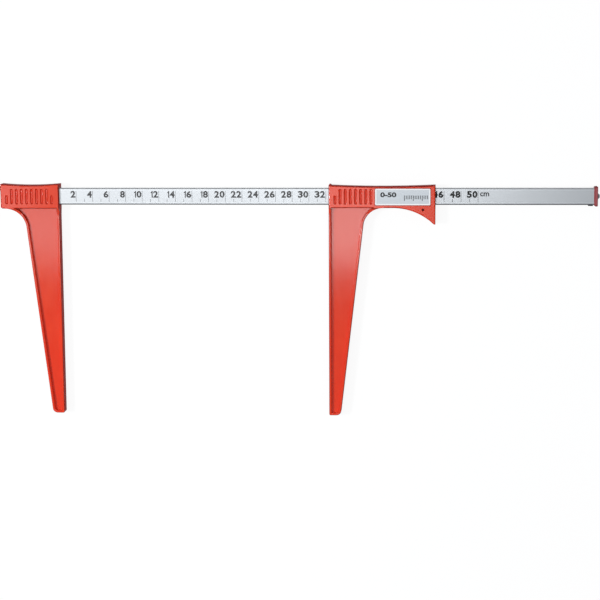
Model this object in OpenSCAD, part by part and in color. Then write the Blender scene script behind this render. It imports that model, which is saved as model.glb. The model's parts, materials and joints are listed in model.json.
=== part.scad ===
// Tree caliper: an aluminium beam with a fixed and a sliding moulded jaw.
// The caliper lies flat. X runs along the beam and Z is up, out of the scale.
// The origin is the middle of the fixed jaw's measuring face, halfway through its thickness.

/* [Beam] */
// Length of the extruded beam
beam_len = 701; // [600:1:900]
// Height of the beam, from edge to edge
beam_h = 20; // [18:0.5:21]
// Thickness of the beam
beam_t = 10; // [9:0.5:11]
// Wall of the extrusion
beam_wall = 1.6; // [1.2:0.1:2]
// Radius of the beam's outer corners
beam_r = 1.2; // [0.5:0.1:1.5]
// Height of the sunk panel that carries the scale
scale_h = 13.4; // [10:0.2:14]
// Depth of the sunk panel
scale_deep = 0.3; // [0.1:0.1:0.5]
// Bore of the screw port down the middle of the beam
port_bore = 4; // [3.6:0.1:4.6]

/* [Arms] */
// Reach of an arm, from the beam's axis to its tip
arm_reach = 265; // [180:1:320]
// Width of an arm at its tip
arm_tip_w = 13.8; // [11:0.1:20]
// Angle between an arm's measuring face and its back edge
arm_taper = 6.73; // [4:0.01:8]
// Thickness of an arm over its rims
arm_t = 13; // [10:0.2:14]
// Thickness of the sunk web between the rims
web_t = 4.6; // [3:0.2:6]
// Width of the rim round the web
rim_w = 2.9; // [2:0.1:3.6]
// Corner radius of the tip on the back edge
tip_back_r = 6; // [5:0.2:7]
// Corner radius of the tip on the measuring face
tip_face_r = 1.8; // [1:0.1:2.4]
// Radius of the curve from the fixed arm's back edge to its grip
fixed_root_r = 26; // [16:1:30]
// Radius of the curve from the sliding arm's back edge to its grip
slide_root_r = 24; // [16:1:30]
// Radius of the flare that carries the rims up to the grip
flare_r = 11; // [8:0.5:16]
// Bevel along the straight edges of an arm
arm_bevel = 0.6; // [0.3:0.1:0.9]

/* [Grips] */
// Thickness of both grips
grip_t = 18; // [16:0.5:22]
// Distance from the beam's axis to the underside of the fixed grip
fixed_low = 14.6; // [13:0.1:17]
// Distance from the beam's axis to the underside of the sliding grip
slide_low = 13.5; // [13:0.1:16]
// Radius along the outer edges of the grips
grip_r = 1.5; // [0.8:0.1:2]
// Radius of the grips' corners in plan
corner_r = 3; // [1.5:0.1:4]
// Length of the fixed jaw's grip
fixed_len = 71; // [68:1:90]
// Height of the fixed grip's top over the beam's axis, at its lowest
fixed_top = 13.3; // [12.6:0.1:15]
// Dip of the fixed grip's top between its ends
fixed_dip = 1.7; // [0.8:0.1:2.4]
// Solid length at the closed end of the fixed grip
fixed_end = 6; // [5:0.5:10]
// Length of the sliding jaw's grip
slide_len = 126.5; // [126:0.5:140]
// Height of the sliding grip's top over the beam's axis, at its lowest
slide_top = 11.8; // [11.6:0.1:14]
// Dip of the sliding grip's top between its ends
slide_dip = 1.5; // [0.6:0.1:2]
// Height of the thumb lip over the top corner of the sliding grip
lip_h = 1.1; // [0.6:0.1:1.5]
// Distance that the fixed grip's lip lies under its top corner
lip_drop = 2.4; // [0.4:0.1:3]
// Width of the thumb lip
lip_w = 3.2; // [3:0.1:4]
// Distance that the fixed grip's lip stands out past the closed end
lip_out = 1.2; // [0.6:0.1:1.8]
// Clearance of the sliding jaw round the beam
slide_gap = 0.3; // [0.2:0.05:0.5]
// Clearance of pieces that are pushed together
fit_gap = 0.1; // [0.05:0.05:0.2]

/* [Grip grooves] */
// Spacing of the grooves
groove_pitch = 6.1; // [5.6:0.1:6.2]
// Width of a groove
groove_w = 3.6; // [2.4:0.1:4]
// Height of a full groove
groove_h = 18.8; // [14:0.2:20]
// Height of the short grooves at the ends of a row
groove_short_h = 11; // [7:0.2:14]
// Depth of the grooves
groove_deep = 1; // [0.6:0.1:1.4]
// Number of grooves on the fixed grip
fixed_grooves = 10; // [6:1:10]
// Number of grooves on the sliding grip
slide_grooves = 8; // [4:1:8]
// Distance from the fixed grip's closed end to the middle of its first groove
fixed_groove_x = 7.6; // [6:0.1:9]
// Distance from the measuring face to the middle of the sliding grip's first groove
slide_groove_x = 7.6; // [6:0.1:9]

/* [Tail] */
// Radius of the arch under the sliding grip
arch_r = 70; // [62:1:72]
// Distance from the far end of the grip to the top of the arch
arch_in = 50.5; // [49.5:0.5:54.5]
// Reach of the tail below the beam's axis
tail_reach = 33; // [28:0.5:36]

/* [Label] */
// Length of the label plate
label_len = 65; // [50:1:68]
// Height of the label plate
label_h = 19.4; // [14:0.2:20]
// Thickness of the label plate
label_t = 0.4; // [0.2:0.1:0.8]
// Corner radius of the label plate
label_r = 1.2; // [0.5:0.1:2]
// Distance from the measuring face to the near end of the label plate
label_x = 55.3; // [54:0.1:57]
// Distance that the label plate's middle lies below the beam's axis
label_drop = 0.3; // [0:0.1:0.6]
// Gap between the label plate and the sides of its recess
label_gap = 0.3; // [0.1:0.1:0.5]

/* [Glides and drag spring] */
// Length of the lower glide shoe, which takes the push of the arm
low_shoe_len = 22; // [18:1:24]
// Height of the lower glide shoe
low_shoe_h = 3.4; // [2.6:0.1:3.6]
// Width of both glide shoes across the beam's edge
shoe_w = 7.6; // [6:0.2:8.4]
// Clearance between a glide shoe and the beam
shoe_gap = 0.1; // [0.05:0.05:0.2]
// Distance from the far end of the grip to the pin of the lower shoe
pin_in = 14.7; // [13.5:0.1:16.5]
// Distance from the beam's axis down to the pin
pin_drop = 15.6; // [15.2:0.1:15.8]
// Diameter of the pin
pin_d = 2.6; // [2:0.1:2.8]
// Distance that the pin's ends lie below the faces of the grip
pin_deep = 1.6; // [1:0.1:3]
// Length of the upper glide shoe
top_shoe_len = 16; // [10:1:20]
// Height of the upper glide shoe
top_shoe_h = 1.3; // [1:0.1:1.5]
// Distance from the measuring face to the upper glide shoe
top_shoe_x = 5; // [3:0.5:10]
// Length of the drag spring
spring_len = 36; // [28:1:40]
// Width of the drag spring
spring_w = 8; // [5:0.5:10]
// Thickness of the drag spring's strip
spring_t = 0.4; // [0.3:0.1:0.5]
// Depth of the pocket that holds the drag spring
spring_deep = 1.6; // [1.3:0.1:1.8]

/* [Beam end] */
// Length of the end cap outside the beam
cap_len = 4.4; // [3.8:0.1:8]
// Distance that the cap stands out past the beam's faces and edges
cap_over = 1.8; // [1.2:0.1:2.4]
// Length of the cap's tongues inside the beam
tongue_len = 10; // [8:0.5:16]
// Thickness of the pan head that stops the sliding jaw
stop_head_h = 1.3; // [1:0.1:1.6]
// Diameter of the stop screw's head
stop_head_d = 6; // [5:0.1:6.2]
// Distance from the beam's end to the middle of the stop screw
stop_x = 3.7; // [3.4:0.1:4.4]
// Shank diameter of the stop screw
stop_d = 2.9; // [2.5:0.1:3.2]
// Head diameter of the two end screws
screw_head_d = 7; // [6:0.1:7.2]
// Head height of the two end screws
screw_head_h = 3; // [2:0.1:3.2]
// Length of the end screws under the head
screw_len = 20; // [16:1:30]

/* [Setting] */
// Opening between the measuring faces
opening = 324; // [0.3:0.1:502]

/* [Hidden] */
$fn = 64;
// Sides of the wide, shallow arcs
wide_fn = 1440;
// Small distance by which cutting tools run past a face
past = 1;
// Small bite that makes curves cross a face instead of just touching it
bite = 0.03;
// The origin lies halfway down the measuring face
beam_y = (fixed_low + arm_reach) / 2;
half_t = grip_t / 2;
red = [0.86, 0.27, 0.18];
// Sideways run of the back edge for each unit of height, and the length of that step
lean = tan(arm_taper);
lean_n = sqrt(1 + lean * lean);
// Corner radius of the thumb lips
lip_r = 1.4;
// Heights over the beam's axis at which the thumb lips start
fixed_lip_foot = 6.8;
slide_lip_foot = beam_h / 2 - 0.9;
// Distance along which the rims flare up to the grip
flare_step = (grip_t - arm_t) / 2;
flare_run = sqrt(flare_r * flare_r - pow(flare_r - flare_step, 2));
// Overlap of an arm into its grip
lap = grip_r + 0.5;
beam_x0 = fixed_end - fixed_len;
beam_x1 = beam_x0 + beam_len;
// Clear height inside the extrusion, and half the height between its end walls
chamber_t = beam_t - 2 * beam_wall;
// Outer diameter of the screw port, which runs into both walls
port_d = chamber_t + 0.8;
chamber_y = beam_h / 2 - beam_wall;
channel_h = beam_h + 2 * slide_gap;
channel_t = beam_t + 2 * slide_gap;
shank_d = port_bore - fit_gap;
screw_hole_d = port_bore + 4 * fit_gap;
seat_d = screw_head_d + 1.2;
seat_deep = screw_head_h + 0.4;
stop_shank = beam_h / 2 - port_d / 2 - 0.8;
label_floor = label_t + fit_gap;
spring_mid = label_x + label_len / 2;
// Places of the arch and of the pin from the measuring face
arch_x = slide_len - arch_in;
pin_x = slide_len - pin_in;
// Radius of the grooves' round floors
groove_r = (groove_w * groove_w / 4 + groove_deep * groove_deep) / (2 * groove_deep);

// Width of an arm at a height below the beam's axis
function arm_w(y) = arm_tip_w + lean * (y + arm_reach);

// Middle of the root curve, for a grip with its underside at -low and a curve of radius r
function root_y(low, r) = bite - low - r;
function root_x(low, r) = arm_w(root_y(low, r)) + (r - bite) * lean_n;

// Moves a piece from the beam's axis to its place over the origin
module place() {
    translate([0, beam_y, 0]) children();
}

// Rectangle about its middle, with round corners
module rounded(w, h, r) {
    square([w - 2 * r, h], center = true);
    square([w, h - 2 * r], center = true);
    for (sx = [-1, 1], sy = [-1, 1])
        translate([sx * (w / 2 - r), sy * (h / 2 - r)]) circle(r = r);
}

// Lays a section drawn across the beam along X
module along_x(len) {
    rotate([90, 0, 90]) linear_extrude(len) children();
}

// Extrudes a section drawn in X and Z through the whole height of the jaws
module along_y(y0, y1) {
    translate([0, y1, 0]) rotate([90, 0, 0]) linear_extrude(y1 - y0) children();
}

// Disc that cuts a concave edge and rounds both of its rims
module scoop(r, fn) {
    kept = 8 * grip_r;
    rotate_extrude($fn = fn) difference() {
        translate([0, -half_t - past]) square([r + grip_r, grip_t + 2 * past]);
        translate([r + kept / 2, 0]) rounded(kept, grip_t, grip_r, $fn = 32);
    }
}

// Radius of a wide arc from its chord and its dip
function arc_r(chord, dip) = (chord * chord / 4 + dip * dip) / (2 * dip);

// Hollows the top of a grip between its ends
module saddle_cut(len, top, dip) {
    r = arc_r(len, dip);
    translate([len / 2, top + r, 0]) scoop(r, wide_fn);
}

// Grip block over the beam, before its top is hollowed: X from 0 to len
module grip_block(len, low, top, dip) {
    high = top + dip + 2 * grip_r;
    intersection() {
        along_x(len) translate([(high - low) / 2, 0]) rounded(high + low, grip_t, grip_r);
        // Round the corner at the far end of the underside
        translate([(len - corner_r) / 2, (high - low) / 2, -grip_t]) linear_extrude(2 * grip_t)
            rounded(len + corner_r, high + low, corner_r);
    }
}

// Thumb lip at the top corner of a grip, from X = x0 to X = x1 and from Y = foot to Y = high
module thumb_lip(x0, x1, foot, high) {
    translate([(x0 + x1) / 2, (foot + high) / 2, 0])
        linear_extrude(grip_t - 3 * grip_r, center = true) rounded(x1 - x0, high - foot, lip_r);
}

// Rounds the two upright ends of a jaw that lies between X = 0 and X = len
module end_rounding(len) {
    along_y(-arm_reach - past, 2 * slide_low) translate([len / 2, 0]) rounded(len, grip_t, grip_r);
}

// Outer form of a jaw: its measuring face is on X = 0, and its grip runs towards +X
module jaw_body(len, low, top, dip, root_r, tailed) {
    difference() {
        intersection() {
            union() {
                grip_block(len, low, top, dip);
                if (tailed) tail_block();
            }
            end_rounding(len);
        }
        saddle_cut(len, top, dip);
        if (tailed) translate([arch_x, bite - low - arch_r, 0]) scoop(arch_r, 360);
    }
    intersection() {
        arm(low, root_r);
        end_rounding(len);
    }
}

// Tail behind the arch, before the arch is cut
module tail_block() {
    translate([arch_x, -tail_reach, -half_t]) cube([slide_len - arch_x, tail_reach, grip_t]);
}

// Plan of an arm, with its measuring face on X = 0 and its back edge towards +X
module arm_plan(low, root_r) {
    x = root_x(low, root_r);
    y = root_y(low, root_r);
    back_y = tip_back_r - arm_reach;
    back_x = arm_w(back_y) - tip_back_r * lean_n;
    touch = lean * root_r / lean_n;
    difference() {
        union() {
            polygon([
                [0, lap - low],
                [0, tip_face_r - arm_reach],
                [tip_face_r, -arm_reach],
                [back_x, -arm_reach],
                [back_x + tip_back_r / lean_n, back_y - lean * tip_back_r / lean_n],
                [arm_w(y + touch), y + touch],
                [x, y],
                [x, lap - low]
            ]);
            translate([tip_face_r, tip_face_r - arm_reach]) circle(r = tip_face_r);
            translate([back_x, back_y]) circle(r = tip_back_r);
        }
        translate([x, y]) circle(r = root_r, $fn = 180);
    }
}

// Plan of the sunk web, one rim's width inside the arm
module web_plan(low, root_r) {
    x = root_x(low, root_r);
    y = root_y(low, root_r);
    inner_r = tip_back_r - rim_w;
    back_y = tip_back_r - arm_reach;
    back_x = arm_w(back_y) - tip_back_r * lean_n;
    difference() {
        union() {
            polygon([
                [rim_w, lap - low + past],
                [rim_w, rim_w - arm_reach],
                [back_x, rim_w - arm_reach],
                [back_x + inner_r / lean_n, back_y - lean * inner_r / lean_n],
                [arm_w(y) - rim_w * lean_n, y],
                [x, y],
                [x, lap - low + past]
            ]);
            translate([back_x, back_y]) circle(r = inner_r);
        }
        translate([x, y]) circle(r = root_r + rim_w, $fn = 180);
    }
}

// Bevels the four long edges of an arm over a length from its tip
module arm_bevels(face_len, back_len) {
    side = arm_bevel * sqrt(2);
    for (s = [-1, 1]) {
        translate([0, -arm_reach - past, s * arm_t / 2]) rotate([-90, 0, 0]) rotate(45)
            translate([-side / 2, -side / 2]) cube([side, side, face_len + past]);
        translate([arm_tip_w - lean * past, -arm_reach - past, s * arm_t / 2])
            rotate([0, 0, -arm_taper]) rotate([-90, 0, 0]) rotate(45)
                translate([-side / 2, -side / 2]) cube([side, side, back_len]);
    }
}

// Arm of a jaw: a flat beam of I section whose rims flare up to the grip
module arm(low, root_r) {
    wide = root_x(low, root_r) + 2 * past;
    flare_y = -low - flare_run;
    difference() {
        linear_extrude(grip_t, center = true) arm_plan(low, root_r);
        for (s = [-1, 1]) mirror([0, 0, s > 0 ? 0 : 1]) {
            translate([-past, -arm_reach - past, arm_t / 2])
                cube([wide, arm_reach + past + flare_y, grip_t]);
            translate([-past, flare_y, arm_t / 2 + flare_r - bite]) rotate([0, 90, 0])
                cylinder(r = flare_r, h = wide, $fn = 96);
            translate([0, 0, web_t / 2]) linear_extrude(grip_t) web_plan(low, root_r);
        }
        arm_bevels(arm_reach + flare_y, arm_reach + flare_y - root_r);
    }
}

// Flute with a round floor and round ends: a bar that sinks one groove's depth below Z = 0
module flute(h) {
    run = h - groove_w;
    translate([0, 0, groove_r - groove_deep]) {
        rotate([90, 0, 0]) cylinder(r = groove_r, h = run, center = true);
        for (s = [-1, 1]) translate([0, s * run / 2, 0]) sphere(r = groove_r);
    }
}

// Row of grip grooves on both faces, with short grooves where the flags ask for them
module groove_row(count, first_short, last_short) {
    foot = -groove_h / 2;
    for (i = [0 : count - 1], side = [0, 1]) {
        short = (first_short && i == 0) || (last_short && i == count - 1);
        h = short ? groove_short_h : groove_h;
        translate([i * groove_pitch, foot + h / 2, 0])
            mirror([0, 0, side]) translate([0, 0, half_t]) flute(h);
    }
}

module beam() {
    color([0.8, 0.82, 0.84])
    place() difference() {
        translate([beam_x0, 0, 0]) along_x(beam_len) difference() {
            rounded(beam_h, beam_t, beam_r);
            // One chamber on each side of the screw port
            difference() {
                square([2 * chamber_y, chamber_t], center = true);
                circle(d = port_d);
            }
            circle(d = port_bore);
            for (s = [-1, 1]) translate([0, s * beam_t / 2])
                square([scale_h, 2 * scale_deep], center = true);
        }
        translate([beam_x1 - stop_x, -beam_h / 2 - past, 0]) rotate([-90, 0, 0])
            cylinder(d = stop_d + fit_gap, h = beam_wall + 2 * past);
    }
}

module fixed_jaw() {
    lip_x = fixed_len + lip_out;
    color(red)
    place() difference() {
        mirror([1, 0, 0]) {
            jaw_body(fixed_len, fixed_low, fixed_top, fixed_dip, fixed_root_r, false);
            thumb_lip(lip_x - lip_w, lip_x, fixed_lip_foot, fixed_top + fixed_dip - lip_drop);
        }
        // Channel for the beam, closed at the left end
        translate([beam_x0, 0, 0]) along_x(fixed_len)
            square([beam_h + 2 * fit_gap, beam_t + 2 * fit_gap], center = true);
        translate([-fixed_len + fixed_groove_x, 0, 0]) groove_row(fixed_grooves, true, true);
        // Hole and round seat for the end screw
        translate([-fixed_len - past, 0, 0]) rotate([0, 90, 0]) {
            cylinder(d = screw_hole_d, h = fixed_end + 2 * past);
            cylinder(d = seat_d, h = seat_deep + past);
        }
    }
}

// Screw with a domed head and a cross recess: the head sits on X = 0 and the shank runs to +X
module end_screw() {
    cap_r = (pow(screw_head_d / 2, 2) + pow(screw_head_h, 2)) / (2 * screw_head_h);
    recess = screw_head_d / 2;
    difference() {
        union() {
            intersection() {
                translate([cap_r - screw_head_h, 0, 0]) sphere(r = cap_r, $fn = 96);
                translate([-screw_head_h - past, 0, 0]) rotate([0, 90, 0])
                    cylinder(d = screw_head_d + past, h = screw_head_h + past);
            }
            rotate([0, 90, 0]) cylinder(d = shank_d, h = screw_len);
        }
        for (a = [0, 90]) rotate([a, 0, 0]) translate([-screw_head_h, 0, 0])
            cube([2.4, recess, 0.8], center = true);
    }
}

module jaw_screw() {
    color([0.45, 0.45, 0.47])
    place() translate([-fixed_len + seat_deep, 0, 0]) end_screw();
}

module cap_screw() {
    color([0.45, 0.45, 0.47])
    place() translate([beam_x1 + cap_len, 0, 0]) mirror([1, 0, 0]) end_screw();
}

module end_cap() {
    flange_h = beam_h + 2 * cap_over;
    flange_t = beam_t + 2 * cap_over;
    slope = cap_len * 0.45;
    rise = cap_over * 0.8;
    tongue_y0 = port_d / 2 + 2 * fit_gap;
    tongue_y1 = chamber_y - fit_gap;
    color([0.72, 0.2, 0.17])
    place() translate([beam_x1, 0, 0]) difference() {
        union() {
            // Flange that widens away from the beam
            intersection() {
                along_x(cap_len) rounded(flange_h, flange_t, 2 * beam_r);
                translate([0, 0, -flange_t]) linear_extrude(2 * flange_t) cap_side(flange_h, slope, rise);
                along_y(-flange_h, flange_h) cap_side(flange_t, slope, rise);
            }
            // Tongues inside the two chambers of the beam
            for (s = [0, 1]) mirror([0, s, 0])
                translate([-tongue_len, tongue_y0, -chamber_t / 2 + fit_gap])
                    cube([tongue_len + bite, tongue_y1 - tongue_y0, chamber_t - 2 * fit_gap]);
        }
        translate([-past, 0, 0]) rotate([0, 90, 0]) cylinder(d = screw_hole_d, h = cap_len + 2 * past);
        // Clearance for the stop screw through the lower tongue
        translate([-stop_x, -beam_h / 2, 0]) rotate([-90, 0, 0])
            cylinder(d = stop_d + 3 * fit_gap, h = beam_h / 2);
    }
}

// Side view of the cap's flange: a sloped shoulder, then a short bevel at the far end
module cap_side(h, slope, rise) {
    near = h / 2 - rise;
    far = h / 2 - rise / 2;
    polygon([[0, -near], [slope, -h / 2], [cap_len - rise / 2, -h / 2], [cap_len, -far],
        [cap_len, far], [cap_len - rise / 2, h / 2], [slope, h / 2], [0, near]]);
}

module stop_screw() {
    color([0.25, 0.25, 0.27])
    place() translate([beam_x1 - stop_x, -beam_h / 2, 0]) rotate([90, 0, 0]) {
        cylinder(d = stop_head_d, h = stop_head_h);
        translate([0, 0, -stop_shank]) cylinder(d = stop_d, h = stop_shank);
    }
}

module sliding_jaw() {
    label_y = -label_drop;
    color(red)
    place() translate([opening, 0, 0]) difference() {
        union() {
            jaw_body(slide_len, slide_low, slide_top, slide_dip, slide_root_r, true);
            thumb_lip(0, lip_w, slide_lip_foot, slide_top + slide_dip + lip_h);
        }
        translate([-past, 0, 0]) along_x(slide_len + 2 * past) square([channel_h, channel_t], center = true);
        translate([slide_groove_x, 0, 0]) groove_row(slide_grooves, true, false);
        // Recess for the label plate
        translate([label_x + label_len / 2, label_y, half_t - label_floor]) linear_extrude(grip_t)
            rounded(label_len + 2 * label_gap, label_h + 2 * label_gap, label_r + label_gap);
        // Pockets for the shoes, open to the channel
        translate([top_shoe_x - fit_gap, 0, -shoe_w / 2 - fit_gap])
            cube([top_shoe_len + 2 * fit_gap, beam_h / 2 + shoe_gap + top_shoe_h, shoe_w + 2 * fit_gap]);
        lower_shoe_form(fit_gap);
        // Pin hole right through the tail
        translate([pin_x, -pin_drop, -half_t - past]) cylinder(d = pin_d + fit_gap, h = grip_t + 2 * past);
        // Pocket for the drag spring in the back wall
        translate([spring_mid - spring_len / 2 - 1, -spring_w / 2 - fit_gap, -channel_t / 2 - spring_deep])
            cube([spring_len + 2, spring_w + 2 * fit_gap, spring_deep + past]);
    }
}

module upper_shoe() {
    color([0.9, 0.88, 0.8])
    place() translate([opening + top_shoe_x, beam_h / 2 + shoe_gap, -shoe_w / 2])
        cube([top_shoe_len, top_shoe_h, shoe_w]);
}

// Lower shoe with the lug that its pin holds, larger by a gap all round for its pocket
module lower_shoe_form(gap) {
    lug_len = 3 * pin_d;
    lug_w = shoe_w - 1.6;
    top_y = -beam_h / 2 - shoe_gap;
    lug_y = -pin_drop - 1.1 * pin_d;
    translate([pin_x - low_shoe_len / 2 - gap, top_y - low_shoe_h - gap / 2, -shoe_w / 2 - gap])
        cube([low_shoe_len + 2 * gap, low_shoe_h + gap, shoe_w + 2 * gap]);
    translate([pin_x - lug_len / 2 - gap, lug_y - gap, -lug_w / 2 - gap])
        cube([lug_len + 2 * gap, top_y - low_shoe_h / 2 - lug_y + gap, lug_w + 2 * gap]);
}

module lower_shoe() {
    color([0.9, 0.88, 0.8])
    place() translate([opening, 0, 0]) difference() {
        lower_shoe_form(0);
        translate([pin_x, -pin_drop, -half_t]) cylinder(d = pin_d + fit_gap, h = grip_t);
    }
}

module shoe_pin() {
    len = grip_t - 2 * pin_deep;
    color([0.3, 0.3, 0.32])
    place() translate([opening + pin_x, -pin_drop, -len / 2]) cylinder(d = pin_d, h = len);
}

// Bowed leaf: its ends stand in the pocket and its crown bears on the back of the beam
module drag_spring() {
    floor_z = -channel_t / 2 - spring_deep;
    crown_z = -beam_t / 2 - shoe_gap;
    bow = crown_z - floor_z - spring_t;
    r = arc_r(spring_len, bow);
    color([0.7, 0.7, 0.72])
    place() translate([opening + spring_mid, 0, crown_z - spring_t - r]) along_y(-spring_w / 2, spring_w / 2)
        intersection() {
            difference() {
                circle(r = r + spring_t, $fn = wide_fn);
                circle(r = r, $fn = wide_fn);
            }
            translate([-spring_len / 2, 0]) square([spring_len, r + 2 * spring_t]);
        }
}

module label_plate() {
    color([0.84, 0.85, 0.87])
    place() translate([opening + label_x + label_len / 2, -label_drop, half_t - label_floor])
        linear_extrude(label_t) rounded(label_len, label_h, label_r);
}

beam();
fixed_jaw();
jaw_screw();
end_cap();
cap_screw();
stop_screw();
sliding_jaw();
upper_shoe();
lower_shoe();
shoe_pin();
drag_spring();
label_plate();
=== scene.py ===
import json
import math

import bmesh
import bpy
from mathutils import Euler, Matrix, Vector
from mathutils.bvhtree import BVHTree


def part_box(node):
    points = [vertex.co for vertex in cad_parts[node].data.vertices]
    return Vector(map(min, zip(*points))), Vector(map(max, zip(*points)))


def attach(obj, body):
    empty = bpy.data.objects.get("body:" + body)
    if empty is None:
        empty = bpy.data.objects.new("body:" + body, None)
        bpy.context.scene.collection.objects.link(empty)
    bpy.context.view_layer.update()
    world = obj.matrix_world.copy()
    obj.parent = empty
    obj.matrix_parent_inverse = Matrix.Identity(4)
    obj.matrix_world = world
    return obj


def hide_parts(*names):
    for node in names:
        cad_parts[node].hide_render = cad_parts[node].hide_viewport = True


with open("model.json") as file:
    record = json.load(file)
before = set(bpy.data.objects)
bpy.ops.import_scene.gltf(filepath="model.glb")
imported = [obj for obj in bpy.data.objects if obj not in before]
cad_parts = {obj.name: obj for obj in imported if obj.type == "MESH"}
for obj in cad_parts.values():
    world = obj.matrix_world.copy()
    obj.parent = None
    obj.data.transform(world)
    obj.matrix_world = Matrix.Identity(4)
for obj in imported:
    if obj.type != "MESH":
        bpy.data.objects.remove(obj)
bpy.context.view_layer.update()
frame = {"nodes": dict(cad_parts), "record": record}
beamLow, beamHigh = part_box("beam")
fixedLow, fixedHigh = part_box("fixed_jaw")
slideLow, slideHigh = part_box("sliding_jaw")
labelLow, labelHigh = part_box("label_plate")
beamY = (beamLow.y + beamHigh.y) / 2
betweenJaws = (fixedHigh.x + slideLow.x) / 2
labelMiddle = (labelLow + labelHigh) / 2
labelHalf = (labelHigh - labelLow) / 2
mountPlaces = {mount["name"]: mount["pos_m"] for mount in frame["record"]["mounts"]}
slideFace = mountPlaces["sliding_face"][0]
print("frame loaded")


class Wire:
    # one output socket; sums and products of wires add their own Math nodes
    def __init__(self, graph, socket):
        self.graph = graph
        self.socket = socket

    def __add__(self, other):
        return self.graph.math("ADD", self, other)

    def __radd__(self, other):
        return self.graph.math("ADD", other, self)

    def __sub__(self, other):
        return self.graph.math("SUBTRACT", self, other)

    def __rsub__(self, other):
        return self.graph.math("SUBTRACT", other, self)

    def __mul__(self, other):
        return self.graph.math("MULTIPLY", self, other)

    def __rmul__(self, other):
        return self.graph.math("MULTIPLY", other, self)

    def __abs__(self):
        return self.graph.math("ABSOLUTE", self)

    def above(self, level):
        return self.graph.math("GREATER_THAN", self, level)

    def below(self, level):
        return self.graph.math("LESS_THAN", self, level)


class Finish:
    # the nodes of one material, or of the sky, built up by calls
    def __init__(self, name, tree=None):
        if tree is None:
            self.material = bpy.data.materials.new(name)
            self.material.use_nodes = True
            tree = self.material.node_tree
        self.tree = tree
        tree.nodes.clear()

    def node(self, kind, settings=None, inputs=None):
        made = self.tree.nodes.new(kind)
        for key, value in (settings or {}).items():
            setattr(made, key, value)
        for key, value in (inputs or {}).items():
            if isinstance(value, Wire):
                self.tree.links.new(value.socket, made.inputs[key])
            else:
                made.inputs[key].default_value = value
        return made

    def wire(self, kind, settings=None, inputs=None, out=0):
        return Wire(self, self.node(kind, settings, inputs).outputs[out])

    def math(self, operation, a, b=None):
        inputs = {0: a} if b is None else {0: a, 1: b}
        return self.wire("ShaderNodeMath", {"operation": operation}, inputs)

    def most(self, first, *others):
        for other in others:
            first = self.math("MAXIMUM", first, other)
        return first

    def mix(self, factor, a, b):
        settings = {"data_type": "RGBA", "clamp_factor": True}
        return self.wire("ShaderNodeMix", settings, {0: factor, 6: a, 7: b}, out=2)

    def place(self):
        return self.wire("ShaderNodeTexCoord", out="Object")

    def axes(self, vector):
        split = self.node("ShaderNodeSeparateXYZ", inputs={0: vector})
        return [Wire(self, split.outputs[i]) for i in range(3)]

    def facing(self):
        # how far the surface faces along each axis, either way
        return [abs(part) for part in self.axes(self.wire("ShaderNodeNewGeometry", out="Normal"))]

    def noise(self, vector, scale=1, detail=3, roughness=0.5, stretch=None):
        if stretch:
            vector = self.wire("ShaderNodeMapping", inputs={"Vector": vector, "Scale": stretch})
        inputs = {"Vector": vector, "Scale": scale, "Detail": detail, "Roughness": roughness}
        return self.wire("ShaderNodeTexNoise", inputs=inputs)

    def soften(self, value, ends, low=0, high=1):
        # a soft step from low to high between the two ends
        settings = {"interpolation_type": "SMOOTHSTEP"}
        inputs = {"Value": value, "To Min": low, "To Max": high}
        inputs["From Min"], inputs["From Max"] = ends
        return self.wire("ShaderNodeMapRange", settings, inputs)

    def bump(self, height, distance, strength):
        inputs = {"Height": height, "Distance": distance, "Strength": strength}
        return self.wire("ShaderNodeBump", inputs=inputs)

    def shader(self, inputs):
        return self.wire("ShaderNodeBsdfPrincipled", inputs=inputs)

    def show(self, shader):
        self.node("ShaderNodeOutputMaterial", inputs={"Surface": shader})
        return self.material

    def surface(self, inputs):
        return self.show(self.shader(inputs))

    def blend(self, factor, first, second):
        return self.show(self.wire("ShaderNodeMixShader", inputs={0: factor, 1: first, 2: second}))


def colour(red, green, blue):
    # 0-255 screen values to linear light
    def linear(value):
        value /= 255
        return value / 12.92 if value <= 0.04045 else ((value + 0.055) / 1.055) ** 2.4

    return (linear(red), linear(green), linear(blue), 1)


def dress(node, material):
    for slot in frame["nodes"][node].material_slots:
        slot.material = material


def piece(name, mesh, material, body):
    made = bpy.data.objects.new(name, mesh)
    bpy.context.scene.collection.objects.link(made)
    mesh.materials.clear()
    mesh.materials.append(material)
    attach(made, body)
    return made


# camera: its place and its turn in degrees, as the scale's tick lines give them
view = {
    "place": (0.4374, 0.3124, 2.0162),
    "turn": (-8.4019, 4.16615, -0.33251),
    "lens": 102,
    "sensor": 36,
    "near": 0.05,
    "far": 60,
}


def placeCamera():
    camera = bpy.data.objects.new("camera", bpy.data.cameras.new("camera"))
    camera.data.lens = view["lens"]
    camera.data.sensor_width = view["sensor"]
    camera.data.clip_start = view["near"]
    camera.data.clip_end = view["far"]
    turn = Euler([math.radians(angle) for angle in view["turn"]])
    camera.matrix_world = Matrix.Translation(view["place"]) @ turn.to_matrix().to_4x4()
    bpy.context.scene.collection.objects.link(camera)
    bpy.context.scene.camera = camera
    bpy.context.scene.view_settings.view_transform = "Standard"


placeCamera()
print("camera placed")


# studio: two rows of soft boxes overhead, brighter to the right, and a smaller lamp from the left
studio = {
    "boxHeight": 2.12,
    "boxColumns": (-0.75, -0.46, -0.32, -0.12, 0.18, 0.61),
    "columnGlow": (9.8, 9.8, 11.5, 13.2, 15.9),
    "boxRows": (-0.205, -0.125, 0.5),
    "rowGlow": (1.1, 0.78),
    "lampPlace": (-1.36, 0.15, 2.05),
    "lampAim": (0.2, 0.1, 0),
    "lampSize": (0.35, 0.35),
    "lampWatts": 31,
    "skyHigh": (0.42, 0.45, 0.48, 1),
    "skyLow": (0.22, 0.22, 0.23, 1),
    "skyRise": (0.0, 0.9),
}
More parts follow.
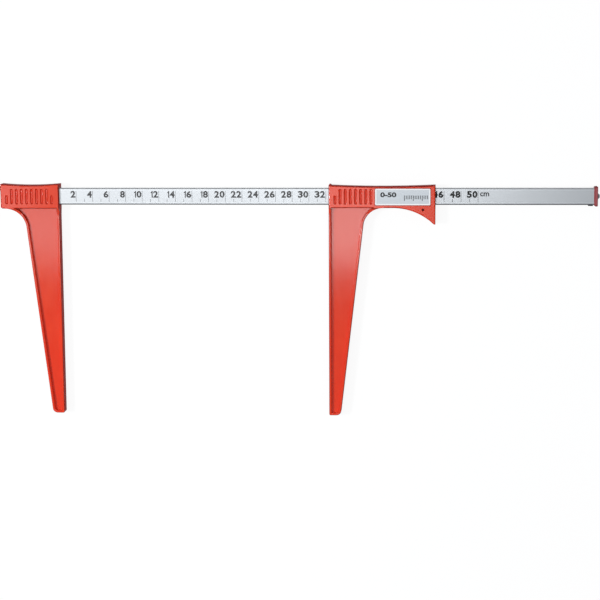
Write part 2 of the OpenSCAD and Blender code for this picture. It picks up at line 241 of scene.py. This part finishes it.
# floor: a share of it glows white to the camera and in reflections, the rest takes the shadow
paleFloor = {
    "half": 15,
    "seen": (0.9, 0.9, 0.9, 1),
    "unseen": (0.3, 0.3, 0.3, 1),
    "white": (1, 1, 1, 1),
    "glow": 1.03,
    "share": 0.88,
}


def areaLamp(name, place, target, size, watts):
    lamp = bpy.data.lights.new(name, "AREA")
    lamp.shape = "RECTANGLE"
    lamp.size, lamp.size_y = size
    lamp.energy = watts
    made = bpy.data.objects.new(name, lamp)
    made.location = place
    made.rotation_mode = "QUATERNION"
    made.rotation_quaternion = (Vector(target) - Vector(place)).to_track_quat("-Z", "Y")
    bpy.context.scene.collection.objects.link(made)


def hangLamps():
    columns = studio["boxColumns"]
    rows = studio["boxRows"]
    for left, right, bright in zip(columns, columns[1:], studio["columnGlow"]):
        for low, high, share in zip(rows, rows[1:], studio["rowGlow"]):
            size = (right - left, high - low)
            middle = ((left + right) / 2, (low + high) / 2)
            watts = bright * share * size[0] * size[1]
            areaLamp("softBox", (*middle, studio["boxHeight"]), (*middle, 0), size, watts)
    areaLamp("sideLamp", studio["lampPlace"], studio["lampAim"], studio["lampSize"], studio["lampWatts"])


def hangSky():
    world = bpy.data.worlds.new("studioSky")
    bpy.context.scene.world = world
    world.use_nodes = True
    sky = Finish("sky", world.node_tree)
    height = sky.axes(sky.wire("ShaderNodeTexCoord", out="Generated"))[2]
    tint = sky.mix(sky.soften(height, studio["skyRise"]), studio["skyLow"], studio["skyHigh"])
    light = sky.wire("ShaderNodeBackground", inputs={"Color": tint})
    sky.node("ShaderNodeOutputWorld", inputs={0: light})


def layFloor(level):
    finish = Finish("floorPaint")
    rays = finish.node("ShaderNodeLightPath").outputs
    seen = Wire(finish, rays["Is Camera Ray"]) + Wire(finish, rays["Is Glossy Ray"])
    seen = seen + Wire(finish, rays["Is Transmission Ray"])
    paint = finish.mix(seen, paleFloor["unseen"], paleFloor["seen"])
    matt = finish.wire("ShaderNodeBsdfDiffuse", inputs={"Color": paint})
    bright = {"Color": paleFloor["white"], "Strength": paleFloor["glow"]}
    glow = finish.wire("ShaderNodeEmission", inputs=bright)
    finish.blend(finish.math("MINIMUM", seen, 1) * paleFloor["share"], matt, glow)
    mesh = bpy.data.meshes.new("floor")
    half = paleFloor["half"]
    corners = [(-half, -half, level), (half, -half, level), (half, half, level), (-half, half, level)]
    mesh.from_pydata(corners, [], [(0, 1, 2, 3)])
    mesh.materials.append(finish.material)
    floor = bpy.data.objects.new("floor", mesh)
    bpy.context.scene.collection.objects.link(floor)


hangLamps()
hangSky()
layFloor(min(fixedLow.z, slideLow.z))
print("studio lit")


# moulded plastic: the jaws' orange red, and the end cap's duller red
redPlastic = {
    "deep": colour(228, 51, 12),
    "light": colour(234, 60, 20),
    "scuff": colour(246, 150, 128),
    # painted shade: upper darkens the jaws towards their top
    "upper": colour(208, 52, 16),
    # painted shade: side is the shaded tone of side walls, inner a lighter copy for walls beside the
    # webs
    "side": colour(180, 30, 18),
    "inner": colour(232, 72, 50),
    # painted sheen: grip is a paler tone on the grips
    "grip": colour(234, 66, 34),
    # painted shade: groove darkens the groove floors
    "groove": colour(208, 44, 20),
    # painted shade: edge is the dark tone on bent edges and around the label
    "edge": colour(128, 24, 16),
    "scuffShare": 0.12,
    "upperShare": 0.8,
    "grooveShare": 0.75,
    "edgeShare": 0.8,
    "labelRing": 0.8,
    "gripMatt": 0.7,
    "roughness": 0.11,
    "matt": 0.5,
    "sideShine": 0.04,
    "density": 1.53,
    "clouds": 22,
    "flow": (60, 14, 60),
    "flowShare": 0.4,
    "flowRelief": 0.6,
    "toneLevels": (0.38, 0.62),
    "scratches": (900, 60, 400),
    "scratchLevels": (0.62, 0.72),
    "grainSize": 1800,
    "grainDepth": 0.00003,
    "glossSpread": 0.08,
    "mattSpread": 0.1,
}
capRed = {
    **redPlastic,
    "deep": colour(151, 62, 66),
    "light": colour(165, 72, 76),
    # the cap takes the jaws' painted shading and sheen in its own duller tones
    "upper": colour(159, 68, 72),
    "side": colour(120, 40, 44),
    "inner": colour(120, 40, 44),
    "grip": colour(159, 68, 72),
    "groove": colour(120, 40, 44),
    "edge": colour(136, 48, 52),
    "labelRing": 0,
    "gripMatt": 0,
    "roughness": 0.3,
    "matt": 0.6,
    "sideShine": 0.2,
}
# places on a jaw where its tone changes, painted shade and sheen among them; a pair is where the change
# starts and ends
jawPlaces = {
    "upper": (-0.05, 0.12),
    "grip": (0.0066, 0.0072),
    "grooveHalf": 0.0085,
    "plainEnd": 0.0048,
    "grooveMouth": (0.0089, 0.0081),
    "grooveFoot": (0.0070, 0.0074),
    "labelRing": (0.0012, 0.0004),
    "labelLevel": 0.0075,
    "tipWidth": 0.0138,
    "taper": 0.118,
    "crest": 0.0016,
    "webTop": 0.1245,
    "flareTop": 0.1252,
    "flare": (0.0064, 0.0068),
    "rimTop": (0.0059, 0.0062),
}
# how far a face of a jaw turns upward, from 0 for a side wall to 1 for a flat top
jawTurns = {
    "side": (0.94, 0.5),
    "bendFromFlat": (0.985, 0.86),
    "bendFromSide": (0.1, 0.45),
    "flat": (0.93, 0.98),
    "grooveFloor": (0.3, 0.6),
}
# how much the painted shade on bent edges is eased, by zone
easedEdgeShade = {"grooved": 0.5, "web": 0.9, "flare": 0.8, "crest": 0.7}
# gloss of the grips: the fixed one's from its left end, the sliding one's along its label; and painted
# sheen, a paler tone painted on the grips
gripGlossAndSheen = {"fixedMatt": (0.3, 1), "slidingMatt": (0.6, 1), "pale": 0.35, "slidingPale": 0.45}


def jawZones(finish, point):
    # factors that say which part of a jaw a point is on
    x, y, z = finish.axes(point)
    level = abs(z)
    sliding = x.above(betweenJaws)
    grooved = abs(y - beamY).below(jawPlaces["grooveHalf"])
    for end in (fixedLow.x, fixedHigh.x, slideLow.x, slideHigh.x):
        grooved = grooved * abs(x - end).above(jawPlaces["plainEnd"])
    mouth = finish.soften(level, jawPlaces["grooveMouth"])
    # the groove floors, which take painted shade
    groove = grooved * mouth * finish.soften(level, jawPlaces["grooveFoot"])
    besideLabel = finish.most(abs(x - labelMiddle.x) - labelHalf.x, abs(y - labelMiddle.y) - labelHalf.y)
    # painted shadow: a dark ring on the top face around the label
    ring = finish.soften(besideLabel, jawPlaces["labelRing"]) * z.above(jawPlaces["labelLevel"])
    # an arm is measured from the middle line between its face and its leaning back
    half = (jawPlaces["tipWidth"] + jawPlaces["taper"] * (y - fixedLow.y)) * 0.5
    middle = sliding * (slideFace + half) - (1 - sliding) * half
    underGrip = y.below(jawPlaces["webTop"])
    web = abs(x - middle).below(half - jawPlaces["crest"])
    web = web * y.above(fixedLow.y + jawPlaces["crest"]) * underGrip
    flare = y.below(jawPlaces["flareTop"]) * finish.soften(level, jawPlaces["flare"])
    crest = (1 - sliding) * underGrip * finish.soften(level, jawPlaces["rimTop"])
    fixedWear = finish.soften(x, (fixedLow.x, fixedHigh.x), *gripGlossAndSheen["fixedMatt"])
    slidingWear = finish.soften(x, (labelLow.x, labelHigh.x), *gripGlossAndSheen["slidingMatt"])
    beforeLabel = finish.soften(x, (labelHigh.x, labelLow.x))
    return {
        # painted shade: rises towards the top of the jaw
        "upper": finish.soften(y, jawPlaces["upper"]),
        "grip": finish.soften(level, jawPlaces["grip"]),
        "grooved": grooved,
        "groove": groove,
        "ring": ring,
        "web": web,
        "flare": flare,
        "crest": crest,
        "worn": fixedWear * (1 - sliding) + sliding * slidingWear,
        # painted sheen on the grips, stronger on the sliding one before its label
        "pale": gripGlossAndSheen["pale"] + sliding * beforeLabel * gripGlossAndSheen["slidingPale"],
    }


def bentEdges(finish, zone, upright, share):
    # painted shade: a dark tone where a face turns over an edge
    parts = [zone[part] * easedEdgeShade[part] for part in ("web", "flare", "crest")]
    edgeShade = finish.soften(upright, jawTurns["bendFromFlat"])
    edgeShade = edgeShade * finish.soften(upright, jawTurns["bendFromSide"])
    edgeShade = edgeShade * (share - zone["grooved"] * easedEdgeShade["grooved"])
    return edgeShade * (1 - finish.most(*parts))


def mouldedPlastic(name, look):
    finish = Finish(name)
    point = finish.place()
    zone = jawZones(finish, point)
    upright = finish.facing()[2]
    side = finish.soften(upright, jawTurns["side"])
    edgeShade = bentEdges(finish, zone, upright, look["edgeShare"])
    cloud = finish.noise(point, scale=look["clouds"], roughness=0.55)
    flow = finish.noise(point, detail=2, stretch=look["flow"])
    grain = finish.noise(point, scale=look["grainSize"], detail=2, roughness=0.6)
    scratches = finish.noise(point, detail=4, roughness=0.7, stretch=look["scratches"])
    scuff = finish.soften(scratches, look["scratchLevels"])

    tone = cloud * (1 - look["flowShare"]) + flow * look["flowShare"]
    base = finish.mix(finish.soften(tone, look["toneLevels"]), look["deep"], look["light"])
    base = finish.mix(scuff * look["scuffShare"], base, look["scuff"])
    # painted shade, darker towards the top
    base = finish.mix(zone["upper"] * look["upperShare"], base, look["upper"])
    # painted sheen: paler grips
    base = finish.mix(zone["grip"] * zone["pale"], base, look["grip"])
    # painted shade in the groove floors
    floor = finish.soften(upright, jawTurns["grooveFloor"])
    base = finish.mix(zone["groove"] * floor * look["grooveShare"], base, look["groove"])
    # painted shadow around the label
    base = finish.mix(zone["ring"] * look["labelRing"], base, look["edge"])
    # painted shade on bent edges
    base = finish.mix(edgeShade, base, look["edge"])
    # painted shade on side walls, lighter on the walls beside the webs
    wall = finish.mix(zone["web"], look["side"], look["inner"])

    relief = finish.bump(grain + flow * look["flowRelief"], look["grainDepth"], strength=0.5)
    shiny = {
        "Base Color": base,
        "Roughness": look["roughness"] + (cloud - 0.5 + scuff) * look["glossSpread"],
        "IOR": look["density"],
        "Normal": relief,
    }
    dull = {
        "Base Color": finish.mix(side * (1 - edgeShade), base, wall),
        "Roughness": look["matt"] + (cloud - 0.5) * look["mattSpread"],
        "Specular IOR Level": look["sideShine"],
        "Normal": relief,
    }
    flat = finish.soften(upright, jawTurns["flat"])
    gripMatt = zone["grip"] * flat * zone["worn"] * look["gripMatt"]
    matt = finish.most(side * (1 - zone["flare"]), gripMatt, zone["groove"] * look["gripMatt"])
    return finish.blend(matt, finish.shader(shiny), finish.shader(dull))


# beam: brushed and anodised, with painted shade in darker lines along its long edges and painted light
# on its brighter long sides
beamMetal = {
    "base": colour(183, 186, 189),
    "streak": colour(150, 154, 158),
    "field": colour(176, 179, 182),
    # painted shade: edge is the dark tone of the lines along the long edges
    "edge": colour(86, 89, 94),
    # painted light: side is the brighter tone of the long sides
    "side": colour(236, 238, 240),
    "metallic": 0.62,
    "roughness": 0.32,
    "streakShare": 0.12,
    "fieldHalf": 0.0067,
    "fieldDepth": 0.0006,
    "upperLine": (0.0085, 0.0092),
    "upperShare": 0.85,
    "lowerLine": (0.0082, 0.0089),
    "upperTurn": (0.6, 0.9),
    "lowerTurn": (0.1, 0.3),
    "streaks": (3, 2200, 2200),
    "clouds": (12, 40, 40),
    "grainDepth": 0.000005,
    "spread": 0.06,
}


def anodisedBeam(look):
    finish = Finish("anodisedBeam")
    point = finish.place()
    y, z = finish.axes(point)[1:]
    streaks = finish.noise(point, roughness=0.6, stretch=look["streaks"])
    cloud = finish.noise(point, detail=2, stretch=look["clouds"])
    field = abs(y - beamY).below(look["fieldHalf"]) * abs(z).above(beamHigh.z - look["fieldDepth"])
    facing = finish.facing()
    # painted shade: dark lines along the long edges of the top face
    upperEdgeShade = finish.soften(y - beamY, look["upperLine"]) * look["upperShare"]
    upperEdgeShade = upperEdgeShade * finish.soften(facing[2], look["upperTurn"])
    lowerEdgeShade = finish.soften(beamY - y, look["lowerLine"]) * finish.soften(facing[2], look["lowerTurn"])
    edge = finish.most(upperEdgeShade, lowerEdgeShade)
    # painted light: the long sides are brightened
    side = finish.soften(facing[1], look["upperTurn"]) * (1 - edge)
    base = finish.mix(field, look["base"], look["field"])
    base = finish.mix(streaks * look["streakShare"] * (1 - field), base, look["streak"])
    base = finish.mix(edge, base, look["edge"])
    base = finish.mix(side, base, look["side"])
    return finish.surface(
        {
            "Base Color": base,
            "Metallic": look["metallic"],
            "Roughness": look["roughness"] + (streaks + cloud - 1) * look["spread"],
            "Normal": finish.bump(streaks, look["grainDepth"], strength=0.25),
        }
    )


# steel of the screws, the pin and the spring
steels = {
    "zincSteel": {"tint": (150, 152, 156), "roughness": 0.35},
    "darkSteel": {"tint": (44, 42, 44), "roughness": 0.55},
    "springSteel": {"tint": (190, 192, 196), "roughness": 0.3},
}
steelWear = {"scale": 900, "darker": 0.8, "spread": 0.2, "depth": 0.00002}


def turnedSteel(name, look):
    finish = Finish(name)
    wear = finish.noise(finish.place(), scale=steelWear["scale"], roughness=0.6)
    darker = [steelWear["darker"] * part for part in look["tint"]]
    return finish.surface(
        {
            "Base Color": finish.mix(wear, colour(*look["tint"]), colour(*darker)),
            "Metallic": 1.0,
            "Roughness": look["roughness"] + (wear - 0.5) * steelWear["spread"],
            "Normal": finish.bump(wear, steelWear["depth"], strength=0.4),
        }
    )


# glide shoes: pale waxy plastic
glide = {
    "light": colour(232, 228, 212),
    "deep": colour(218, 212, 194),
    "roughness": 0.5,
    "clouds": 300,
    "depth": 0.00002,
    "spread": 0.1,
}


def glidePlastic():
    finish = Finish("glidePlastic")
    cloud = finish.noise(finish.place(), scale=glide["clouds"], roughness=0.6)
    return finish.surface(
        {
            "Base Color": finish.mix(cloud, glide["light"], glide["deep"]),
            "Roughness": glide["roughness"] + (cloud - 0.5) * glide["spread"],
            "Normal": finish.bump(cloud, glide["depth"], strength=0.3),
        }
    )


# inks of the scale, fresher and blacker past the jaw's usual reach, and of the label
inks = {
    "figureInk": {"tone": (20, 20, 24), "roughness": 0.3},
    "freshInk": {"tone": (2, 2, 3), "roughness": 0.6},
    "lineInk": {"tone": (44, 46, 50), "roughness": 0.3},
    "labelInk": {"tone": (18, 18, 20), "roughness": 0.5},
}
inkWear = {"scale": 1500, "lighter": 12, "spread": 0.1}


def printInk(name, look):
    finish = Finish(name)
    cloud = finish.noise(finish.place(), scale=inkWear["scale"], detail=2, roughness=0.6)
    lighter = [inkWear["lighter"] + part for part in look["tone"]]
    return finish.surface(
        {
            "Base Color": finish.mix(cloud, colour(*look["tone"]), colour(*lighter)),
            "Roughness": look["roughness"] + (cloud - 0.5) * inkWear["spread"],
        }
    )


jawRed = mouldedPlastic("jawRed", redPlastic)
metal = {name: turnedSteel(name, look) for name, look in steels.items()}
ink = {name: printInk(name, look) for name, look in inks.items()}
glideFinish = glidePlastic()
for node, material in {
    "beam": anodisedBeam(beamMetal),
    "end_cap": mouldedPlastic("capPlastic", capRed),
    "jaw_screw": metal["zincSteel"],
    "cap_screw": metal["zincSteel"],
    "stop_screw": metal["darkSteel"],
    "upper_shoe": glideFinish,
    "lower_shoe": glideFinish,
    "shoe_pin": metal["darkSteel"],
    "drag_spring": metal["springSteel"],
}.items():
    dress(node, material)
print("finishes made")


# jaws: the moulded bodies with their sharp edges broken, and wider rounds along the arms' rims
rounding = {
    "width": 0.00035,
    "segments": 2,
    "room": 0.0008,
    "angle": 50,
    "fold": 115,
    "flat": 0.4,
    "weld": 0.00002,
    "leastEdge": 0.000001,
    "depth": 0.0004,
    "shade": 40,
}
rim = {"width": 0.0011, "segments": 4, "room": 0.0016, "level": 0.0065, "flat": 0.99}


def roundEdges(shape, edges, size):
    bmesh.ops.bevel(
        shape,
        geom=edges,
        offset=size["width"],
        segments=size["segments"],
        profile=0.5,
        affect="EDGES",
        clamp_overlap=False,
    )


def sharpEdges(shape, room):
    # edges with a wide face on both sides, away from folded corners
    turns = {edge: edge.calc_face_angle(0) for edge in shape.edges if edge.is_manifold}
    fold = math.radians(rounding["fold"])
    folded = {point for edge, turn in turns.items() if turn > fold for point in edge.verts}
    edges = []
    for edge, turn in turns.items():
        free = not folded.intersection(edge.verts)
        length = max(edge.calc_length(), rounding["leastEdge"])
        roomy = all(face.calc_area() / length > room for face in edge.link_faces)
        if turn > math.radians(rounding["angle"]) and free and roomy:
            edges.append(edge)
    return edges


def onRim(edge):
    level = all(abs(abs(point.co.z) - rim["level"]) < rounding["weld"] for point in edge.verts)
    flat = any(abs(face.normal.z) > rim["flat"] for face in edge.link_faces)
    return level and flat and edge.is_convex


def keepInside(shape, skin, low, high):
    # a round never stands out of the moulding's own surface, nor cuts deep into it
    for point in shape.verts:
        near, normal, _, distance = skin.find_nearest(point.co)
        outside = (point.co - near).dot(normal) > rounding["weld"]
        if distance > rounding["depth"] or outside:
            point.co = near
        point.co.z = min(max(point.co.z, low.z), high.z)


def softJaw(name, node, body):
    mesh = frame["nodes"][node].data.copy()
    mesh.name = name
    shape = bmesh.new()
    shape.from_mesh(mesh)
    bmesh.ops.remove_doubles(shape, verts=shape.verts, dist=rounding["weld"])
    flat = math.radians(rounding["flat"])
    bmesh.ops.dissolve_limit(shape, angle_limit=flat, verts=shape.verts, edges=shape.edges)
    skin = BVHTree.FromBMesh(shape)
    low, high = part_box(node)
    shape.normal_update()
    rims = [edge for edge in sharpEdges(shape, rim["room"]) if onRim(edge)]
    print(node, "rim edges:", len(rims))
    roundEdges(shape, rims, rim)
    shape.normal_update()
    edges = sharpEdges(shape, rounding["room"])
    print(node, "other edges:", len(edges), "open:", sum(not edge.is_manifold for edge in shape.edges))
    roundEdges(shape, edges, rounding)
    keepInside(shape, skin, low, high)
    for face in shape.faces:
        face.smooth = True
    shape.to_mesh(mesh)
    shape.free()
    mesh.set_sharp_from_angle(angle=math.radians(rounding["shade"]))
    made = piece(name, mesh, jawRed, body)
    even = made.modifiers.new("even", "WEIGHTED_NORMAL")
    even.keep_sharp = True
    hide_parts(node)


softJaw("fixedJawMoulding", "fixed_jaw", "beam_body")
softJaw("slidingJawMoulding", "sliding_jaw", "slider")
print("jaws rounded")


# printing: thin films of ink, with letters from the built-in typeface
film = {"thick": 0.00004, "letterDepth": 0.01, "letterSteps": 4}


def addBox(shape, x0, x1, y0, y1, z0):
    z1 = z0 + film["thick"]
    corners = [Vector((x, y, z)) for z in (z0, z1) for y in (y0, y1) for x in (x0, x1)]
    points = [shape.verts.new(corner) for corner in corners]
    for loop in ((0, 2, 3, 1), (4, 5, 7, 6), (0, 1, 5, 4), (2, 6, 7, 3), (0, 4, 6, 2), (1, 3, 7, 5)):
        shape.faces.new([points[i] for i in loop])


def letterMesh(text, bold):
    curve = bpy.data.curves.new("letters", "FONT")
    curve.body = text
    curve.offset = bold
    curve.extrude = film["letterDepth"]
    curve.resolution_u = film["letterSteps"]
    holder = bpy.data.objects.new("letters", curve)
    bpy.context.scene.collection.objects.link(holder)
    bpy.context.view_layer.update()
    mesh = bpy.data.meshes.new_from_object(holder)
    bpy.data.objects.remove(holder)
    bpy.data.curves.remove(curve)
    return mesh


def span(mesh, axis):
    values = [point.co[axis] for point in mesh.vertices]
    return min(values), max(values)


def fitLetters(shape, text, bold, corner, size, level):
    # letters stretched to the size, with their lower left at the corner
    mesh = letterMesh(text, bold)
    (left, right), (foot, top) = span(mesh, 0), span(mesh, 1)
    thin = film["thick"] / (2 * film["letterDepth"])
    mesh.transform(Matrix.Translation((-left, -foot, 0)))
    mesh.transform(Matrix.Diagonal((size[0] / (right - left), size[1] / (top - foot), thin, 1)))
    mesh.transform(Matrix.Translation((*corner, level + film["thick"] / 2)))
    shape.from_mesh(mesh)
    bpy.data.meshes.remove(mesh)


def printPiece(name, shape, material, body):
    mesh = bpy.data.meshes.new(name)
    shape.to_mesh(mesh)
    shape.free()
    piece(name, mesh, material, body)


# scale on the beam's sunk field, numbered every two centimetres
scale = {
    "zero": 0.0005,
    "first": 2,
    "last": 50,
    "fresh": 45,
    "centimetre": 0.01,
    "depth": 0.0003,
    "line": 0.00041,
    "freshLine": 0.00046,
    "fieldTop": 0.0066,
    "fieldFoot": -0.0066,
    "oddTop": -0.0031,
    "figureTop": 0.0065,
    "figureHeight": 0.0081,
    "figureWidth": 0.0059,
    "figureSpace": 0.0006,
    "figureGap": 0.0008,
    "bold": 0.038,
    "freshBold": 0.050,
    "unitX": 0.5028,
    "unitFoot": 0.0001,
    "unitWidth": 0.0106,
    "unitHeight": 0.0048,
    "unitBold": 0.022,
}
# the digit 1: an upright stem with a slanted flag, whose corners are measured from the top
digitOne = {
    "stem": 0.0013,
    "flag": 0.0011,
    "slant": 0.2,
    "neck": 0.0008,
    "tip": 0.0016,
    "crook": 0.0012,
    "weight": 0.8,
}
printLevel = beamHigh.z - scale["depth"]


def scaleLines(name, marks, width, material):
    # whole lines on even marks, short ones on odd marks
    shape = bmesh.new()
    half = width / 2
    low = beamY + scale["fieldFoot"]
    for mark in marks:
        x = scale["zero"] + mark * scale["centimetre"]
        high = beamY + (scale["oddTop"] if mark % 2 else scale["fieldTop"])
        addBox(shape, x - half, x + half, low, high, printLevel)
    printPiece(name, shape, material, "beam_body")


def addOne(shape, right, foot):
    top = foot + scale["figureHeight"]
    left = right - digitOne["stem"]
    tip = left - digitOne["flag"]
    weight = digitOne["weight"] * digitOne["stem"]
    outline = [
        (right, foot),
        (right, top),
        (left + digitOne["slant"] * digitOne["stem"], top),
        (left, top - digitOne["neck"]),
        (tip, top - digitOne["tip"]),
        (tip, top - digitOne["tip"] - weight),
        (left, top - digitOne["crook"] - weight),
        (left, foot),
    ]
    low = [shape.verts.new((x, y, printLevel)) for x, y in outline]
    high = [shape.verts.new((x, y, printLevel + film["thick"])) for x, y in outline]
    shape.faces.new(high)
    shape.faces.new(low[::-1])
    for i in range(len(outline)):
        j = (i + 1) % len(outline)
        shape.faces.new((low[i], low[j], high[j], high[i]))


def addFigure(shape, mark, bold):
    # each digit is set on its own, from the right
    right = scale["zero"] + mark * scale["centimetre"] - scale["figureGap"]
    foot = beamY + scale["figureTop"] - scale["figureHeight"]
    size = (scale["figureWidth"], scale["figureHeight"])
    for digit in reversed(str(mark)):
        if digit == "1":
            width = digitOne["stem"] + digitOne["flag"]
            addOne(shape, right, foot)
        else:
            width = scale["figureWidth"]
            fitLetters(shape, digit, bold, (right - width, foot), size, printLevel)
        right -= width + scale["figureSpace"]


def addUnit(shape):
    corner = (scale["unitX"], beamY + scale["unitFoot"])
    size = (scale["unitWidth"], scale["unitHeight"])
    fitLetters(shape, "cm", scale["unitBold"], corner, size, printLevel)


def scaleFigures(name, marks, bold, material, withUnit):
    shape = bmesh.new()
    for mark in marks:
        addFigure(shape, mark, bold)
    if withUnit:
        addUnit(shape)
    printPiece(name, shape, material, "beam_body")


wornMarks = range(scale["first"], scale["fresh"])
freshMarks = range(scale["fresh"], scale["last"] + 1)
scaleLines("scaleLines", wornMarks, scale["line"], ink["lineInk"])
scaleLines("freshLines", freshMarks, scale["freshLine"], ink["freshInk"])
scaleFigures("scaleFigures", wornMarks[::2], scale["bold"], ink["figureInk"], False)
scaleFigures("freshFigures", freshMarks[1::2], scale["freshBold"], ink["freshInk"], True)
print("scale printed")


# label: a silver face inside a white border
label = {
    "border": 0.0014,
    "face": colour(192, 197, 202),
    "edge": colour(252, 252, 252),
    "fleck": colour(180, 186, 192),
    "fleckShare": 0.12,
    "metallic": 0.35,
    "roughness": 0.42,
    "flecks": (400, 2600, 400),
    "depth": 0.00001,
    "spread": 0.12,
}
labelText = {"text": "0-50", "inset": 0.0060, "drop": 0.0004, "size": (0.0190, 0.0060), "bold": 0.042}
labelRule = {
    "start": 0.0345,
    "step": 0.0021,
    "bars": 14,
    "longEvery": 5,
    "half": 0.0004,
    "top": 0.0018,
    "longFoot": 0.0046,
    "shortFoot": 0.0026,
}


def labelFoil():
    finish = Finish("labelFoil")
    point = finish.place()
    x, y = finish.axes(point)[:2]
    inX = labelHalf.x - abs(x - labelMiddle.x)
    inY = labelHalf.y - abs(y - labelMiddle.y)
    inside = finish.math("MINIMUM", inX, inY).above(label["border"])
    fleck = finish.noise(point, roughness=0.6, stretch=label["flecks"])
    base = finish.mix(inside, label["edge"], label["face"])
    base = finish.mix(fleck * label["fleckShare"], base, label["fleck"])
    return finish.surface(
        {
            "Base Color": base,
            "Metallic": inside * label["metallic"],
            "Roughness": label["roughness"] + (fleck - 0.5) * label["spread"],
            "Normal": finish.bump(fleck, label["depth"], strength=0.3),
        }
    )


def printLabel():
    # plain range text and a short rule
    shape = bmesh.new()
    corner = (labelLow.x + labelText["inset"], labelMiddle.y - labelText["drop"])
    fitLetters(shape, labelText["text"], labelText["bold"], corner, labelText["size"], labelHigh.z)
    half = labelRule["half"]
    high = labelMiddle.y + labelRule["top"]
    for bar in range(labelRule["bars"]):
        x = labelLow.x + labelRule["start"] + bar * labelRule["step"]
        foot = labelRule["shortFoot"] if bar % labelRule["longEvery"] else labelRule["longFoot"]
        addBox(shape, x - half, x + half, labelMiddle.y - foot, high, labelHigh.z)
    printPiece("labelPrint", shape, ink["labelInk"], "slider")


dress("label_plate", labelFoil())
printLabel()
print("label dressed")
